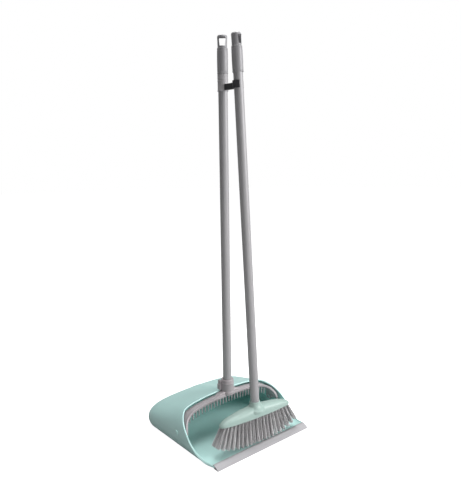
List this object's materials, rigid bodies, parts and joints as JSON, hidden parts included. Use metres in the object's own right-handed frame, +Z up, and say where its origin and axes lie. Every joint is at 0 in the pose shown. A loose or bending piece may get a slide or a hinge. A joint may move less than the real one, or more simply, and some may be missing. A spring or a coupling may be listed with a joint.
{
  "type": "standing dust pan and brush set",
  "caption": "Long-handled hooded dust pan with a comb yoke, and a broom that stands in the pan and clips to its pole.",
  "frame": {"origin": "on the floor, under the middle of the pan's width and depth", "axes": "+Z up, -Y to the pan's front edge, +X across the pan to its right as seen from the front"},
  "size_m": [0.314, 0.3, 0.933],
  "materials": {
    "mint_plastic": "satin moulded polypropylene",
    "soft_grey_strip": "soft satin",
    "warm_grey_plastic": "satin moulded plastic",
    "coated_steel": "satin powder coat",
    "grey_grip_plastic": "fine moulded texture",
    "light_grey_plastic": "satin moulded plastic",
    "charcoal_plastic": "fine moulded texture",
    "pale_mint_plastic": "satin moulded plastic",
    "grey_bristles": "split synthetic bristle"
  },
  "bodies": {
    "pan": {"pan_shell": "mint_plastic", "lip_strip": "soft_grey_strip", "left_pivot_pin": "mint_plastic", "right_pivot_pin": "mint_plastic"},
    "handle": {"comb_yoke": "warm_grey_plastic", "pan_latch": "warm_grey_plastic", "pan_pole": "coated_steel", "pan_pole_plug": "charcoal_plastic", "pan_grip": "grey_grip_plastic", "clip_collar": "light_grey_plastic", "broom_clip": "charcoal_plastic"},
    "pan_cap": {"pan_hang_cap": "grey_grip_plastic"},
    "broom": {"broom_pole": "coated_steel", "broom_thread_plug": "charcoal_plastic", "broom_grip": "grey_grip_plastic", "brush_block": "pale_mint_plastic", "tuft_row_front": "grey_bristles", "tuft_row_mid_front": "grey_bristles", "tuft_row_mid_back": "grey_bristles", "tuft_row_back": "grey_bristles"},
    "broom_cap": {"broom_hang_cap": "grey_grip_plastic"}
  },
  "joints": [
    {"name": "yoke_tilt", "type": "hinge", "parent": "pan", "child": "handle", "pos_m": [0, -0.009, 0.037], "axis": [1, 0, 0], "range_deg": [0, 68]},
    {"name": "broom_lift", "type": "slide", "parent": "handle", "child": "broom", "axis": [0, 0.0654, 0.9979], "range_m": [0, 0.45]},
    {"name": "pan_cap_swivel", "type": "hinge", "parent": "handle", "child": "pan_cap", "pos_m": [0, -0.009, 0.906], "axis": [0, 0, 1], "continuous": true},
    {"name": "broom_cap_swivel", "type": "hinge", "parent": "broom", "child": "broom_cap", "pos_m": [0, -0.05839, 0.90333], "axis": [0, 0.0654, 0.9979], "continuous": true}
  ],
  "couplings": [
    {"joint": "yoke_tilt", "follows": "broom_lift", "rad_per_m": 2.6}
  ]
}
